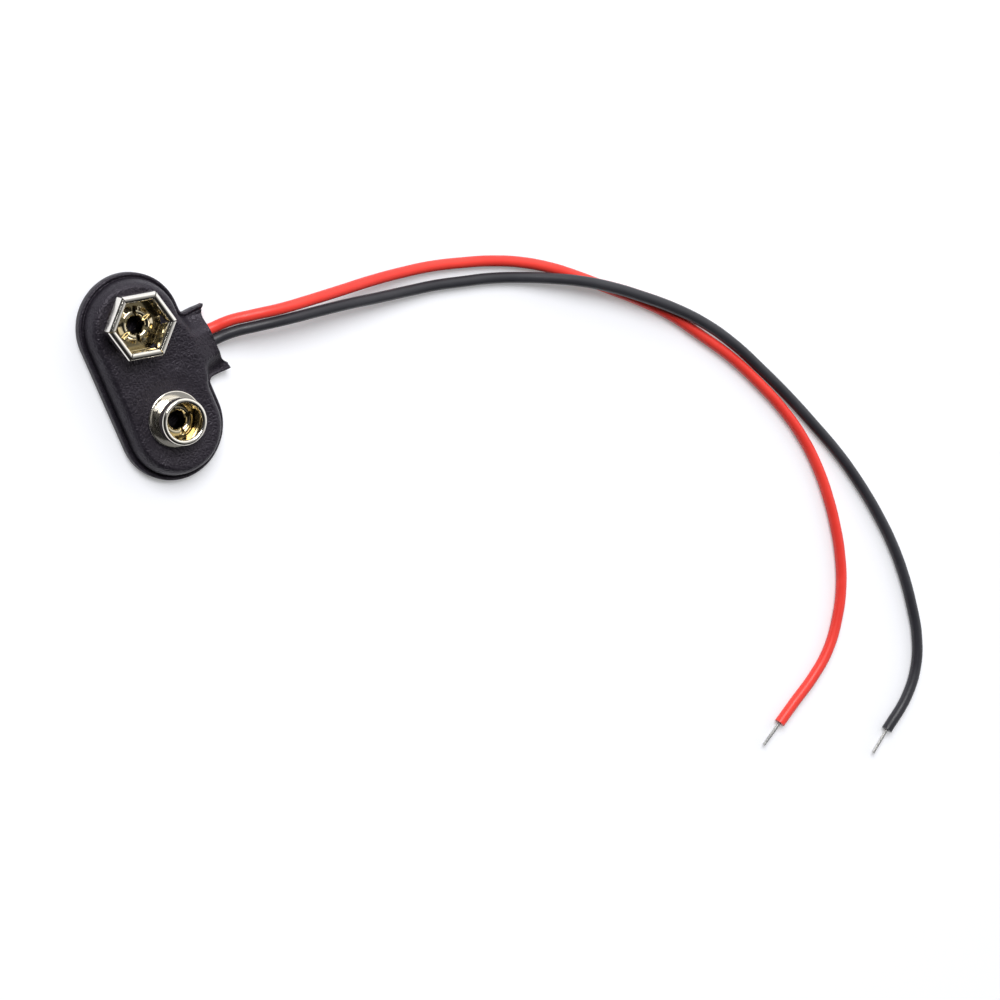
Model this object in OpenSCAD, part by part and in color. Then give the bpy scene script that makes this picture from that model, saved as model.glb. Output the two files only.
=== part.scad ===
// Battery snap with two leads, lying on its back with its contacts up.
// Origin: on the back face, midway between the two contacts.
// +X points out of the tab along the leads, +Y to the socket, +Z out of the face.

/* [Plate] */
// Length of the plate, end to end
plate_l = 26.4; // [25.4:0.1:30]
// Width of the plate across its straight sides
plate_w = 13.1; // [12.6:0.1:15]
// Shift of the plate from the middle of the contacts, towards the stud
plate_shift = 1; // [0.5:0.1:1.2]
// Shift of the plate from the line of the contacts, towards the tab
plate_out = 0.15; // [0:0.05:0.3]
// Thickness of the vinyl sheet, front and back
sheet = 0.6; // [0.4:0.05:0.8]
// Width of the welded border round the pillow
border = 0.65; // [0.6:0.05:0.9]
// Depth of the weld groove between border and pillow
groove = 0.15; // [0.05:0.05:0.25]
// Width of the round shoulder of the pillow
shoulder = 1.1; // [1:0.1:1.3]

/* [Tab] */
// Width of the tab, ear to ear
tab_w = 8.7; // [8.2:0.1:9.4]
// Shift of the tab from the middle of the contacts, towards the stud
tab_shift = 0.2; // [0:0.05:0.5]
// Reach of the tab from the middle of the contacts to the middle of its mouth
mouth_x = 8.7; // [8.4:0.1:9.2]
// How far the pointed ears stand out past the middle of the mouth
ear_reach = 0.9; // [0.4:0.05:1]
// Radius of the notch between the plate's side and an ear
notch_r = 0.6; // [0.4:0.05:0.9]
// Width of the soft fold along the sides of the tab
tab_fold = 2.4; // [1.8:0.1:2.6]

/* [Contacts] */
// Distance between the axes of the two contacts
contact_pitch = 12.7; // [12.5:0.1:13]
// Thickness of the contacts' sheet metal
metal = 0.25; // [0.2:0.01:0.3]
// Turn of the hexagonal socket about its own axis
hex_turn = -17; // [-30:1:30]
// Width of the socket across the flats of its rim, outside
hex_af = 7.72; // [7.6:0.02:8]
// Width of the socket across the flats between its leaves, where they grip
grip_af = 5.78; // [5.76:0.01:5.9]
// Height of the socket above the face of the plate
hex_h = 3.15; // [3:0.05:3.4]
// Outer width of the roll along the socket's rim
roll_w = 0.9; // [0.8:0.02:1]
// Length of the skirt that hangs down outside the roll
skirt_l = 1.3; // [0.8:0.1:1.6]
// Width of the slits between the leaves at the rim
slit_w = 0.12; // [0.08:0.01:0.2]
// Width of the slits between the leaves at their roots
slit_root_w = 1.2; // [0.8:0.1:1.6]
// Diameter of the stud's head
head_d = 5.72; // [5.6:0.01:5.8]
// Diameter of the stud's neck
neck_d = 5.2; // [5:0.05:5.3]
// Diameter of the hollow in the stud
hollow_d = 4.4; // [4.35:0.05:4.5]
// Height of the stud above the face of the plate
stud_h = 3.3; // [3.1:0.05:3.6]
// Straight height of the stud's head, below its rolled lip
head_h = 0.92; // [0.7:0.02:1.1]
// Diameter of the stud's base flange
flange_d = 6.9; // [6.6:0.1:7.2]

/* [Eyelets] */
// Bore of the hollow rivets
eyelet_bore = 2.1; // [1.9:0.05:2.2]
// Wall of the hollow rivets
eyelet_wall = 0.25; // [0.2:0.01:0.27]
// Diameter of the rivets' flange under the card
foot_d = 4.4; // [4:0.1:4.6]
// Width of the gaps between the rivets' star petals
petal_gap = 0.5; // [0.3:0.05:0.6]
// Petals on the rivet in the socket
socket_petals = 6; // [5:1:7]
// Petals on the rivet in the stud
stud_petals = 4; // [3:1:5]
// Gap between a rivet and the holes that it passes through
rivet_gap = 0.02; // [0.01:0.01:0.05]

/* [Card and leads] */
// Thickness of the fibre card inside
card_t = 0.6; // [0.4:0.1:0.8]
// Gap between the card's edge and the pillow
card_gap = 0.05; // [0.02:0.01:0.2]
// Diameter of the leads over their insulation
lead_d = 1.4; // [1.2:0.05:1.4]
// Gap above and below the leads, inside
lead_gap = 0.05; // [0.02:0.01:0.1]
// Diameter of the bare conductor
core_d = 0.4; // [0.3:0.02:0.5]
// Bare length of the conductor at the free end of a lead
tip_l = 3.5; // [3:0.1:5]
// Bare length of the conductor at the solder joint of a lead
root_l = 2; // [1.9:0.1:2.2]
// Radius of a solder joint
solder_r = 0.7; // [0.6:0.02:0.8]

/* [Hidden] */
$fn = 64;

// Heights of the layers, from the back face up
card_z = sheet + lead_d + 2 * lead_gap;
front_z = card_z + card_t;
face_z = front_z + sheet;

// Places on the plan
socket_y = contact_pitch / 2;
stud_y = -contact_pitch / 2;
plate_r = plate_w / 2;
end_offset = (plate_l - plate_w) / 2;
tab_half = tab_w / 2;
side_x = plate_out + plate_r;
notch_x = side_x + notch_r;
notch_offset = tab_half + notch_r;
crown = border + shoulder;
hole_r = eyelet_bore / 2 + eyelet_wall + rivet_gap;

// Tab slope: the pillow comes down to the leads between its root and the mouth
slope_gap = 0.7;
slope_x = side_x - crown + slope_gap;
pillow_rise = face_z - 2 * sheet;
mouth_rise = lead_d + 2 * lead_gap;
function ease(t) = let(u = min(1, max(0, t))) u * u * (3 - 2 * u);
function rise(x) = pillow_rise + (mouth_rise - pillow_rise) * ease((x - slope_x) / (mouth_x - slope_x));
function on_tab(x) = ease((x - slope_x) / (notch_x - slope_x));

// Stations along the edge of the front sheet, for one side of the tab
TAB_STEPS = 5;
NOTCH_STEPS = 6;
END_STEPS = 18;
ear_power = 4;
function mouth_at(v) = mouth_x + ear_reach * pow(abs(v) / tab_half, ear_power);
function tab_run(d, s) = [
    for (i = [0 : TAB_STEPS - 1])
        let(v = tab_half - d, x0 = mouth_at(v))
        [x0 + (notch_x - x0) * i / TAB_STEPS, -tab_shift + s * v]
];
function notch_run(d, s) = [
    for (i = [0 : NOTCH_STEPS])
        let(a = 90 * i / NOTCH_STEPS, r = notch_r + d)
        [notch_x - r * sin(a), -tab_shift + s * (notch_offset - r * cos(a))]
];
function end_run(d, s) = [
    for (i = [0 : END_STEPS])
        let(a = 180 * i / END_STEPS, r = plate_r - d)
        [plate_out + r * cos(a), -plate_shift + s * (end_offset + r * sin(a))]
];
function side_run(d, s) = concat(tab_run(d, s), notch_run(d, s), end_run(d, s));
function reversed(list) = [for (i = [len(list) - 1 : -1 : 0]) list[i]];
function turned(face) = [for (i = [len(face) : -1 : 1]) face[i % len(face)]];
function edge_run(d) =
    concat(side_run(d, 1), [[plate_out + d - plate_r, -plate_shift]], reversed(side_run(d, -1)));

// Section of the front sheet from its cut edge to the crown of the pillow: each entry is
// [inset, height, share of the rise] for the outer face, then the same for the inner face
SHOULDER_STEPS = 7;
FOLD_STEPS = 4;
edge_round = sheet / 4;
groove_w = 0.25;
front_section = concat(
    [
        [[0, 2 * sheet - edge_round, 0], [0, sheet, 0]],
        [[edge_round, 2 * sheet, 0], [edge_round, sheet, 0]],
        [[border - groove_w, 2 * sheet, 0], [border - groove_w, sheet, 0]],
        [[border - groove_w / 2, 2 * sheet - groove, 0], [border - groove_w / 2, sheet, 0]]
    ],
    [
        for (i = [0 : SHOULDER_STEPS])
            let(a = 90 * i / SHOULDER_STEPS)
            [
                [crown - shoulder * cos(a), 2 * sheet, sin(a)],
                [crown - (shoulder - sheet) * cos(a), sheet, sin(a)]
            ]
    ],
    [
        for (i = [1 : FOLD_STEPS])
            let(d = crown + (border + tab_fold - crown) * i / FOLD_STEPS)
            [[d, 2 * sheet, 1], [d, sheet, 1]]
    ]
);
// On the tab the round shoulder softens to a long fold
function share_at(s, x) = s[2] + (ease((s[0] - border) / tab_fold) - s[2]) * on_tab(x);
function section_run(level, face) =
    let(s = front_section[level][face])
    [for (p = edge_run(s[0])) [p[0], p[1], s[1] + share_at(s, p[0]) * rise(p[0])]];

// Rim of a rivet hole in the front sheet, from its +Y side round by -X, with the barrel's gap at its flats
QUARTER = END_STEPS / 2;
HOLE_STEPS = 4 * QUARTER;
function hole_rim(y, z) = [
    for (k = [0 : HOLE_STEPS - 1])
        let(a = 90 + 360 * k / HOLE_STEPS, r = hole_r / cos(180 / HOLE_STEPS))
        [r * cos(a), y + r * sin(a), z]
];

// The front sheet: rows of points along its edge, strips over the tab and a flat crown round the two
// rivet holes. Faces are listed anticlockwise as seen from outside, and turned round at the end.
module front_sheet() {
    levels = len(front_section);
    last = levels - 1;
    count = len(edge_run(0));
    end = count - 1;
    left = end / 2;
    strips = TAB_STEPS + NOTCH_STEPS;
    rows = [for (face = [0, 1]) for (level = [0 : last]) each section_run(level, face)];
    rims = [for (z = [face_z, front_z]) for (y = [socket_y, stud_y]) each hole_rim(y, z)];
    function at(face, level, i) = (face * levels + level) * count + i;
    function rim(face, hole, k) = len(rows) + (2 * face + hole) * HOLE_STEPS + k % HOLE_STEPS;
    skins = [
        for (level = [0 : last - 1]) for (i = [0 : end - 1]) each [
            [at(0, level, i), at(0, level, i + 1), at(0, level + 1, i + 1), at(0, level + 1, i)],
            [at(1, level, i), at(1, level + 1, i), at(1, level + 1, i + 1), at(1, level, i + 1)]
        ]
    ];
    cut_edge = [for (i = [0 : end - 1]) [at(0, 0, i), at(1, 0, i), at(1, 0, i + 1), at(0, 0, i + 1)]];
    mouth = [
        for (level = [0 : last - 1]) each [
            [at(0, level, 0), at(0, level + 1, 0), at(1, level + 1, 0), at(1, level, 0)],
            [at(0, level, end), at(1, level, end), at(1, level + 1, end), at(0, level + 1, end)]
        ]
    ];
    mouth_middle = [[at(0, last, 0), at(0, last, end), at(1, last, end), at(1, last, 0)]];
    tab_strips = [
        for (i = [0 : strips - 1]) each [
            [at(0, last, i), at(0, last, i + 1), at(0, last, end - 1 - i), at(0, last, end - i)],
            [at(1, last, i), at(1, last, end - i), at(1, last, end - 1 - i), at(1, last, i + 1)]
        ]
    ];
    // A quarter of the crown between its edge, from station i, and a hole, from step k
    function quarter(face, hole, i, k) = [
        for (j = [0 : QUARTER - 1])
            [
                at(face, last, i + j), at(face, last, i + j + 1),
                rim(face, hole, k + j + 1), rim(face, hole, k + j)
            ]
    ];
    function left_waist(face) = concat(
        [at(face, last, left), at(face, last, left + 1)],
        [for (k = [QUARTER : -1 : 0]) rim(face, 1, k)],
        [for (k = [2 * QUARTER : -1 : QUARTER]) rim(face, 0, k)],
        [at(face, last, left - 1)]
    );
    function right_waist(face) = concat(
        [at(face, last, strips), at(face, last, strips + 1)],
        [for (k = [3 * QUARTER : -1 : 2 * QUARTER]) rim(face, 0, k)],
        [for (k = [4 * QUARTER : -1 : 3 * QUARTER]) rim(face, 1, k)],
        [at(face, last, end - strips)]
    );
    function crown_faces(face) = concat(
        quarter(face, 0, strips + 1, 3 * QUARTER),
        quarter(face, 0, strips + 1 + QUARTER, 0),
        quarter(face, 1, left + 1, QUARTER),
        quarter(face, 1, left + 1 + QUARTER, 2 * QUARTER),
        [
            left_waist(face),
            right_waist(face),
            [at(face, last, end - strips), rim(face, 1, 3 * QUARTER), at(face, last, end - strips - 1)]
        ]
    );
    hole_walls = [
        for (hole = [0, 1]) for (k = [0 : HOLE_STEPS - 1])
            [rim(0, hole, k), rim(0, hole, k + 1), rim(1, hole, k + 1), rim(1, hole, k)]
    ];
    faces = concat(
        skins, cut_edge, mouth, mouth_middle, tab_strips, hole_walls,
        crown_faces(0), [for (f = crown_faces(1)) turned(f)]
    );
    polyhedron(concat(rows, rims), [for (f = faces) turned(f)]);
}

module stadium(w, l) {
    square([w, l - w], center = true);
    for (s = [-1, 1])
        translate([0, s * (l - w) / 2])
            circle(d = w);
}

MOUTH_STEPS = 12;
module plate_outline() {
    mouth = [
        for (i = [-MOUTH_STEPS : MOUTH_STEPS])
            let(v = tab_half * i / MOUTH_STEPS)
            [mouth_at(v), v]
    ];
    translate([plate_out, -plate_shift])
        stadium(plate_w, plate_l);
    translate([0, -tab_shift])
        polygon(concat(mouth, [[0, tab_half], [0, -tab_half]]));
    for (s = [-1, 1])
        translate([side_x, -tab_shift + s * (tab_half + notch_r / 2)])
            difference() {
                square([2 * notch_r, notch_r], center = true);
                translate([notch_r, s * notch_r / 2])
                    circle(r = notch_r);
            }
}

module front_cover() {
    color("#34323a")
        front_sheet();
}

module back_cover() {
    color("#2c2b31")
        linear_extrude(sheet)
            plate_outline();
}

module insulator_card() {
    color("#8a5a3c")
        difference() {
            translate([plate_out, -plate_shift, card_z])
                linear_extrude(card_t)
                    stadium(plate_w - 2 * (crown + card_gap), plate_l - 2 * (crown + card_gap));
            for (y = [socket_y, stud_y])
                translate([0, y, 0])
                    cylinder(r = hole_r, h = 2 * face_z);
        }
}

// Sheet metal in section: a straight run between two points, with round ends
module metal_run(p, q, t) {
    d = q - p;
    translate(p)
        rotate(atan2(d[1], d[0]))
            translate([0, -t / 2])
                square([norm(d), t]);
    translate(p)
        circle(d = t);
    translate(q)
        circle(d = t);
}

// Sheet metal in section: the upper half of a roll
module metal_roll(centre, r_out, t) {
    translate(centre)
        difference() {
            circle(r = r_out);
            circle(r = r_out - t);
            translate([-2 * r_out, -4 * r_out])
                square(4 * r_out);
        }
}

// One leaf of the socket in section, from the floor over the rim to the end of the skirt
root_out = 0.35;
grip_drop = 1.1;
module leaf_section() {
    floor_z = face_z + metal / 2;
    roll_c = [hex_af / 2 - roll_w / 2, face_z + hex_h - roll_w / 2];
    roll_mid = roll_w / 2 - metal / 2;
    grip = [grip_af / 2 + metal / 2, face_z + hex_h - grip_drop];
    root = [grip[0] + root_out, floor_z];
    metal_run([hole_r + metal, floor_z], root, metal);
    metal_run(root, grip, metal);
    metal_run(grip, roll_c - [roll_mid, 0], metal);
    metal_roll(roll_c, roll_w / 2, metal);
    metal_run(roll_c + [roll_mid, 0], roll_c + [roll_mid, -skirt_l + metal / 2], metal);
}

module hex_leaf() {
    side = hex_af * tan(30);
    intersection() {
        rotate([90, 0, 0])
            translate([0, 0, -side / 2])
                linear_extrude(side)
                    leaf_section();
        linear_extrude(face_z + 2 * hex_h)
            polygon([[0, 0], [hex_af, -hex_af * tan(30)], [hex_af, hex_af * tan(30)]]);
    }
}

// A slit between two leaves: fine at the rim, wide at the roots inside the skirt
module corner_slit() {
    slit_z = face_z + metal;
    rim_z = hex_h - roll_w / 2 - metal;
    inner = (hex_af / 2 - roll_w) / 2;
    skirt_in = (hex_af / 2 - metal) / cos(30) - metal / 2;
    translate([inner, -slit_w / 2, slit_z])
        cube([hex_af, slit_w, hex_h]);
    translate([inner, 0, slit_z])
        rotate([90, 0, 90])
            linear_extrude(skirt_in - inner)
                polygon([
                    [-slit_root_w / 2, 0], [slit_root_w / 2, 0],
                    [slit_w / 2, rim_z - metal], [-slit_w / 2, rim_z - metal]
                ]);
}

module hex_socket() {
    floor_af = grip_af + 2 * metal + 2 * root_out;
    color("#d8d3c6")
        translate([0, socket_y, 0])
            rotate(hex_turn + 30)
                difference() {
                    union() {
                        translate([0, 0, face_z])
                            rotate(30)
                                cylinder(r = floor_af / 2 / cos(30), h = metal, $fn = 6);
                        for (k = [0 : 5])
                            rotate(60 * k)
                                hex_leaf();
                    }
                    for (k = [0 : 5])
                        rotate(60 * k + 30)
                            corner_slit();
                    cylinder(r = hole_r, h = 2 * face_z);
                }
}

// The stud in section: floor, flange, neck, head and rolled lip
flange_t = 0.35;
neck_fillet = 0.35;
head_cone = 0.35;
module stud_section() {
    neck_r = neck_d / 2;
    head_r = head_d / 2;
    hollow_r = hollow_d / 2;
    lip_r = (head_r - hollow_r) / 2;
    lip_z = stud_h - lip_r;
    cone_z = lip_z - head_h - head_cone;
    translate([hole_r, 0])
        square([flange_d / 2 - flange_t / 2 - hole_r, flange_t]);
    translate([flange_d / 2 - flange_t / 2, flange_t / 2])
        circle(d = flange_t);
    translate([hollow_r, 0])
        square([neck_r - hollow_r, lip_z]);
    difference() {
        translate([hollow_r, 0])
            square([neck_r + neck_fillet - hollow_r, flange_t + neck_fillet]);
        translate([neck_r + neck_fillet, flange_t + neck_fillet])
            circle(r = neck_fillet);
    }
    polygon([
        [hollow_r, cone_z], [neck_r, cone_z], [head_r, cone_z + head_cone],
        [head_r, lip_z], [hollow_r, lip_z]
    ]);
    translate([hollow_r + lip_r, lip_z])
        circle(r = lip_r);
}

module round_stud() {
    color("#d8d3c6")
        translate([0, stud_y, face_z])
            rotate_extrude()
                stud_section();
}

// A hollow rivet in section: flange under the card, barrel, and the roll of its star
petal_roll = 0.5;
petal_turn = 30;
petal_lift = 0.1;
foot_t = 0.3;
socket_star_turn = 15;
stud_star_turn = 0;
socket_star_r = 2.3;
stud_star_gap = 0.05;
module eyelet_section(floor_t, star_r) {
    bore_r = eyelet_bore / 2;
    roll_z = face_z + floor_t + petal_lift;
    roll_c = [bore_r + petal_roll, roll_z];
    tip_dir = [cos(petal_turn), -sin(petal_turn)];
    mid_r = petal_roll - eyelet_wall / 2;
    mid = roll_c + mid_r * [sin(petal_turn), cos(petal_turn)];
    petal_run = (star_r - eyelet_wall / 2 - mid[0]) / cos(petal_turn);
    translate([bore_r, card_z - foot_t])
        square([eyelet_wall, roll_z - card_z + foot_t]);
    translate([bore_r, card_z - foot_t])
        square([foot_d / 2 - foot_t / 2 - bore_r, foot_t]);
    translate([foot_d / 2 - foot_t / 2, card_z - foot_t / 2])
        circle(d = foot_t);
    translate(roll_c)
        difference() {
            circle(r = petal_roll);
            circle(r = petal_roll - eyelet_wall);
            translate([-2 * petal_roll, -4 * petal_roll])
                square(4 * petal_roll);
            rotate(90 - petal_turn)
                translate([0, -4 * petal_roll])
                    square(4 * petal_roll);
        }
    metal_run(mid, mid + petal_run * tip_dir, eyelet_wall);
}

module eyelet(floor_t, petals, turn, star_r) {
    difference() {
        rotate_extrude()
            eyelet_section(floor_t, star_r);
        for (k = [0 : petals - 1])
            rotate(turn + 360 * k / petals)
                translate([eyelet_bore / 2 + eyelet_wall, -petal_gap / 2, face_z + floor_t + petal_lift])
                    cube([foot_d, petal_gap, hex_h]);
    }
}

module socket_eyelet() {
    color("#c9b98a")
        translate([0, socket_y, 0])
            eyelet(metal, socket_petals, socket_star_turn, socket_star_r);
}

module stud_eyelet() {
    color("#c9b98a")
        translate([0, stud_y, 0])
            eyelet(flange_t, stud_petals, stud_star_turn, hollow_d / 2 - stud_star_gap);
}

// Routes of the leads, from the solder joint to the free end of the insulation:
// [x, y, height of the lead's underside above the back face]
inside = sheet + lead_gap;
laid = 0.03;
over = 1.47;
RED_ROUTE = [
    [2.4, 3.6, inside], [3.6, 2.7, inside], [5.4, 1.7, inside], [7.3, 1.1, inside], [9.2, 0.9, inside],
    [11.6, 0.9, 1.5], [14.1, 0.45, 2.4], [17.9, -0.45, 2.95], [22, -1.3, 2.8], [26.2, -2.2, 2.15],
    [30.5, -3.15, 1.3], [34.8, -4.25, 0.6], [38.9, -5.45, 0.2], [43, -7, laid], [46.5, -8.5, laid],
    [50, -10.4, laid], [53.5, -12.9, laid], [56.5, -15.6, laid], [60, -19.1, laid], [63.2, -22.3, laid],
    [66.3, -25.9, laid], [69.1, -30.1, laid], [71.8, -34.5, laid], [74.2, -39.6, laid], [76, -44.4, laid],
    [77.1, -49, laid], [77.5, -53.5, laid], [77.3, -58, laid], [76.8, -61.5, laid], [76, -65, laid],
    [74.5, -69, laid], [72.3, -72.6, laid], [69.4, -75.8, laid], [66, -78, laid], [62.5, -79.6, laid],
    [59.3, -81.1, laid]
];
BLACK_ROUTE = [
    [2.4, -3.6, inside], [3.6, -2.7, inside], [5.4, -1.4, inside], [7.3, -0.6, inside], [9.2, -0.55, inside],
    [11.6, -0.6, 1.4], [14.2, -1.1, 2.2], [18, -2, 2.7], [22.1, -3, 2.55], [26.3, -4.15, 1.95],
    [30.6, -5.5, 1.15], [34.8, -6.75, 0.5], [38.5, -7.85, 0.15], [42, -9.1, laid], [45.5, -10.4, laid],
    [49, -12, 0.2], [52.5, -13.8, 0.85], [56.2, -16, over], [59.7, -18.6, over], [63, -21.5, over],
    [66.4, -24.8, 1.4], [69.7, -28.6, 0.95], [72.6, -33, 0.55], [75.1, -38, 0.15], [77.2, -42.8, laid],
    [79.2, -48.1, laid], [81, -53.4, laid], [82.2, -58.3, laid], [83, -63.1, laid], [83.4, -67.8, laid],
    [83.3, -72.2, laid], [82.8, -76.3, laid], [81.9, -80.4, laid], [80.2, -84, laid], [77.4, -87, laid],
    [73, -89.6, laid]
];

SIDES = 8;
function unit(v) = v / norm(v);
function lead_path(route) = [for (p = route) [p[0], p[1], p[2] + lead_d / 2]];
function heading(path, i) = unit(path[min(i + 1, len(path) - 1)] - path[max(i - 1, 0)]);
function ring(centre, along, r) =
    let(across = unit(cross([0, 0, 1], along)), up = cross(along, across))
    [
        for (k = [0 : SIDES - 1])
            let(a = 360 * (k + 0.5) / SIDES)
            centre + r * (cos(a) * across + sin(a) * up)
    ];

// Insulation of a lead: eight-sided rings along its route
module insulation(route) {
    path = lead_path(route);
    last = len(path) - 1;
    points = [for (i = [0 : last]) each ring(path[i], heading(path, i), lead_d / 2)];
    function at(i, k) = i * SIDES + k % SIDES;
    walls = [
        for (i = [0 : last - 1]) for (k = [0 : SIDES - 1])
            [at(i, k), at(i + 1, k), at(i + 1, k + 1), at(i, k + 1)]
    ];
    ends = [
        [for (k = [0 : SIDES - 1]) at(0, k)],
        [for (k = [SIDES - 1 : -1 : 0]) at(last, k)]
    ];
    polyhedron(points, concat(walls, ends));
}

// A bare stretch of conductor from a point, along a direction
module bare(from, along, length, r) {
    translate(from)
        rotate([0, acos(along[2]), atan2(along[1], along[0])])
            cylinder(r = r, h = length);
}

module root_core(route, r) {
    path = lead_path(route);
    bare(path[0], unit(path[0] - path[1]), root_l, r);
}

module tip_core(route, r) {
    path = lead_path(route);
    last = len(path) - 1;
    bare(path[last], unit(path[last] - path[last - 1]), tip_l, r);
}

// Solder joint under the foot of a rivet, with the conductor's end in it
module solder(route) {
    path = lead_path(route);
    joint = path[0] + root_l * unit(path[0] - path[1]);
    foot_z = card_z - foot_t;
    difference() {
        translate([joint[0], joint[1], foot_z])
            sphere(r = solder_r);
        translate([joint[0] - 2 * solder_r, joint[1] - 2 * solder_r, foot_z])
            cube(4 * solder_r);
        root_core(route, core_d / 2);
    }
}

module socket_solder() {
    color("#b9bcc0")
        solder(RED_ROUTE);
}

module stud_solder() {
    color("#b9bcc0")
        solder(BLACK_ROUTE);
}

module red_insulation() {
    color("#dc3028")
        insulation(RED_ROUTE);
}

module red_conductor() {
    color("#c3c3bf") {
        root_core(RED_ROUTE, core_d / 2);
        tip_core(RED_ROUTE, core_d / 2);
    }
}

module black_insulation() {
    color("#303236")
        insulation(BLACK_ROUTE);
}

module black_conductor() {
    color("#c3c3bf") {
        root_core(BLACK_ROUTE, core_d / 2);
        tip_core(BLACK_ROUTE, core_d / 2);
    }
}

front_cover();
back_cover();
insulator_card();
hex_socket();
round_stud();
socket_eyelet();
stud_eyelet();
socket_solder();
stud_solder();
red_insulation();
red_conductor();
black_insulation();
black_conductor();
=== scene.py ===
import math

import bpy
import numpy as np
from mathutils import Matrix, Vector, noise
from mathutils.geometry import delaunay_2d_cdt


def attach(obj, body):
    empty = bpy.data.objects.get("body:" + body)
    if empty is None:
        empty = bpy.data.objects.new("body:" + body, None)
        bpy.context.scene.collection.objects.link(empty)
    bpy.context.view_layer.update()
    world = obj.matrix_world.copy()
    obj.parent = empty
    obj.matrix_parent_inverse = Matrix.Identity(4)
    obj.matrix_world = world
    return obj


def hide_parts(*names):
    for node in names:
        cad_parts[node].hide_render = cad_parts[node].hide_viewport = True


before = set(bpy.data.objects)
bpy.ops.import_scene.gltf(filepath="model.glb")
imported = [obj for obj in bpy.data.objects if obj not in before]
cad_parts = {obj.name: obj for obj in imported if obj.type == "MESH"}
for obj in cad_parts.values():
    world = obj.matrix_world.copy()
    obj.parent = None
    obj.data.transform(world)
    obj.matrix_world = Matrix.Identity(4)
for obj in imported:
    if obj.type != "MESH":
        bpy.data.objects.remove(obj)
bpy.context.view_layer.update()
bpy.context.scene.view_settings.view_transform = "Standard"

# Camera: stands over the socket end of the plate and looks steeply down on it.
# Its long lens keeps the plate and the far ends of the leads at nearly one scale.
MM = 0.001
camera_data = bpy.data.cameras.new("camera")
camera_data.sensor_width = 36
camera_data.lens = 182.95
camera = bpy.data.objects.new("camera", camera_data)
camera.location = Vector((-183.1, 154.72, 559.95)) * MM
camera.rotation_euler = [math.radians(a) for a in (-7.763, -26.391, -24.081)]
bpy.context.scene.collection.objects.link(camera)
bpy.context.scene.camera = camera

# Table: a smooth white sheet that the snap lies on, wide enough to fill every view.
# It shows white to the camera and in the metal, and keeps the soft shadow of the snap.
TABLE_HALF = 2.0
TABLE_GLOW = 0.24
TABLE_COLOUR = (0.78, 0.79, 0.83)


def plain_mesh(name, points, faces, material):
    mesh = bpy.data.meshes.new(name)
    mesh.from_pydata([tuple(p) for p in points], [], [tuple(f) for f in faces])
    mesh.materials.append(material)
    piece = bpy.data.objects.new(name, mesh)
    bpy.context.scene.collection.objects.link(piece)
    return piece


def empty_tree(material):
    material.use_nodes = True
    tree = material.node_tree
    tree.nodes.clear()
    return tree


def seen_white(tree):
    """A factor that is 1 where the camera, a reflection or glass looks at the surface."""
    path = tree.nodes.new("ShaderNodeLightPath")
    camera_or_gloss = tree.nodes.new("ShaderNodeMath")
    camera_or_gloss.operation = "MAXIMUM"
    tree.links.new(path.outputs["Is Camera Ray"], camera_or_gloss.inputs[0])
    tree.links.new(path.outputs["Is Glossy Ray"], camera_or_gloss.inputs[1])
    any_of_three = tree.nodes.new("ShaderNodeMath")
    any_of_three.operation = "MAXIMUM"
    tree.links.new(camera_or_gloss.outputs[0], any_of_three.inputs[0])
    tree.links.new(path.outputs["Is Transmission Ray"], any_of_three.inputs[1])
    return any_of_three.outputs[0]


table_white = bpy.data.materials.new("table_white")
tree = empty_tree(table_white)
matt = tree.nodes.new("ShaderNodeBsdfDiffuse")
matt.inputs["Color"].default_value = (*TABLE_COLOUR, 1)
glow = tree.nodes.new("ShaderNodeEmission")
glow_level = tree.nodes.new("ShaderNodeMath")
glow_level.operation = "MULTIPLY"
glow_level.inputs[1].default_value = TABLE_GLOW
both = tree.nodes.new("ShaderNodeAddShader")
out = tree.nodes.new("ShaderNodeOutputMaterial")
tree.links.new(seen_white(tree), glow_level.inputs[0])
tree.links.new(glow_level.outputs[0], glow.inputs["Strength"])
tree.links.new(matt.outputs[0], both.inputs[0])
tree.links.new(glow.outputs[0], both.inputs[1])
tree.links.new(both.outputs[0], out.inputs["Surface"])
corners = [(x * TABLE_HALF, y * TABLE_HALF, 0) for x, y in ((-1, -1), (1, -1), (1, 1), (-1, 1))]
table = plain_mesh("table", corners, [(0, 1, 2, 3)], table_white)

# Light: a tent round the table, bright in its wall on the side of the leads, dark across from them
# and dim at its top. A large soft lamp stands high up, beyond the socket end.
TENT_STOPS = [(0.0, 0.6), (0.55, 0.8), (0.8, 0.6), (0.92, 0.45), (1.0, 0.2)]
TENT_BRIGHT_WAY = (0.906, 0.423, 0)
TENT_DARK_FROM = -0.1
TENT_BRIGHT_FROM = 0.7
TENT_DARK = 0.03
TENT_BRIGHT = 1.8
LAMP_SIZE = 0.95
LAMP_WATTS = 20
LAMP_PLACE = Vector((0, 0.87, 1.2))
world = bpy.data.worlds.new("light_tent")
bpy.context.scene.world = world
world.use_nodes = True
tree = world.node_tree
tree.nodes.clear()
direction = tree.nodes.new("ShaderNodeTexCoord")
parts = tree.nodes.new("ShaderNodeSeparateXYZ")
tent = tree.nodes.new("ShaderNodeValToRGB")
while len(tent.color_ramp.elements) < len(TENT_STOPS):
    tent.color_ramp.elements.new(0.5)
for element, (height, level) in zip(tent.color_ramp.elements, TENT_STOPS):
    element.position = height
    element.color = (level, level, level, 1)
bright_side = tree.nodes.new("ShaderNodeVectorMath")
bright_side.operation = "DOT_PRODUCT"
bright_side.inputs[1].default_value = TENT_BRIGHT_WAY
wall = tree.nodes.new("ShaderNodeMapRange")
wall.inputs["From Min"].default_value = TENT_DARK_FROM
wall.inputs["From Max"].default_value = TENT_BRIGHT_FROM
wall.inputs["To Min"].default_value = TENT_DARK
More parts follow.
